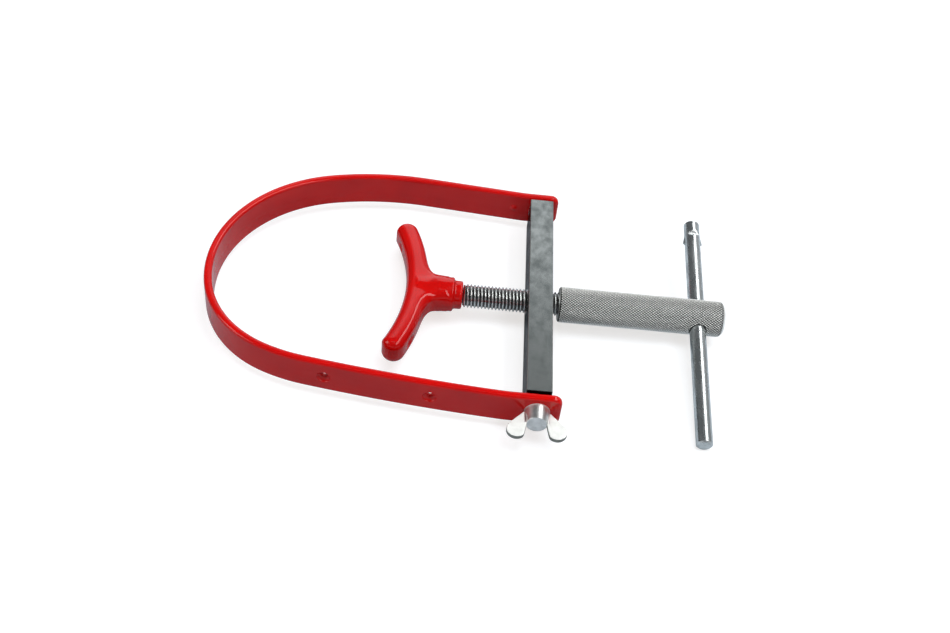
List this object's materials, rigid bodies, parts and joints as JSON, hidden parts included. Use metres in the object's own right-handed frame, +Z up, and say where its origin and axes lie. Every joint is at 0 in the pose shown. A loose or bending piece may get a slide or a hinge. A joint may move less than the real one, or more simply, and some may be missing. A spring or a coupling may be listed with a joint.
{
  "type": "flywheel holder",
  "caption": "Flywheel holder: coated strap bent to a U on a crossbar, and a threaded spindle that presses a swivelling curved claw against the wheel, with a knurled handle and sliding bar.",
  "frame": {"origin": "middle of the crossbar's underside, straight below the spindle's axis", "axes": "+X along the spindle from the claw to the handle, +Y along the crossbar from the wing screw to the fixed strap screw, +Z up"},
  "size_m": [0.2577, 0.1644, 0.0257],
  "materials": {
    "red_coat": "gloss",
    "spring_steel": "satin",
    "bar_steel": "satin",
    "turned_steel": "bright",
    "knurled_steel": "knurled",
    "plated_steel": "bright",
    "cast_plated": "bright",
    "cast_iron": "bare",
    "ball_steel": "polished"
  },
  "bodies": {
    "bar": {"crossbar": "bar_steel", "pivot_washer": "turned_steel", "pivot_screw": "turned_steel"},
    "strap": {"strap_core": "spring_steel", "strap_coating": "red_coat"},
    "wing": {"wing_screw": "cast_plated"},
    "ball": {"thrust_ball": "ball_steel"},
    "screw": {"spindle": "turned_steel", "handle": "knurled_steel"},
    "claw": {"claw_core": "cast_iron", "claw_coating": "red_coat", "swivel_pins": "turned_steel"},
    "lever": {"tommy_bar": "plated_steel"}
  },
  "joints": [
    {"name": "strap_swing", "type": "hinge", "parent": "bar", "child": "strap", "pos_m": [0, 0, 0.01], "axis": [0, 1, 0], "range_deg": [-145, 145]},
    {"name": "wing_screw_turn", "type": "hinge", "parent": "bar", "child": "wing", "pos_m": [0, -0.0705, 0.01], "axis": [0, -1, 0], "range_deg": [0, 360]},
    {"name": "spindle_advance", "type": "slide", "parent": "bar", "child": "ball", "axis": [1, 0, 0], "range_m": [-0.0038, 0.0321]},
    {"name": "spindle_turn", "type": "hinge", "parent": "ball", "child": "screw", "pos_m": [0, 0, 0.01], "axis": [1, 0, 0], "range_deg": [-769, 6583]},
    {"name": "claw_swivel", "type": "hinge", "parent": "ball", "child": "claw", "pos_m": [-0.05, 0, 0.01], "axis": [1, 0, 0], "continuous": true},
    {"name": "tommy_bar_slide", "type": "slide", "parent": "screw", "child": "lever", "axis": [0, 0.9911, 0.1329], "range_m": [-0.038, 0.065]}
  ],
  "couplings": [
    {"joint": "spindle_advance", "follows": "spindle_turn", "m_per_rad": 0.00027852}
  ]
}
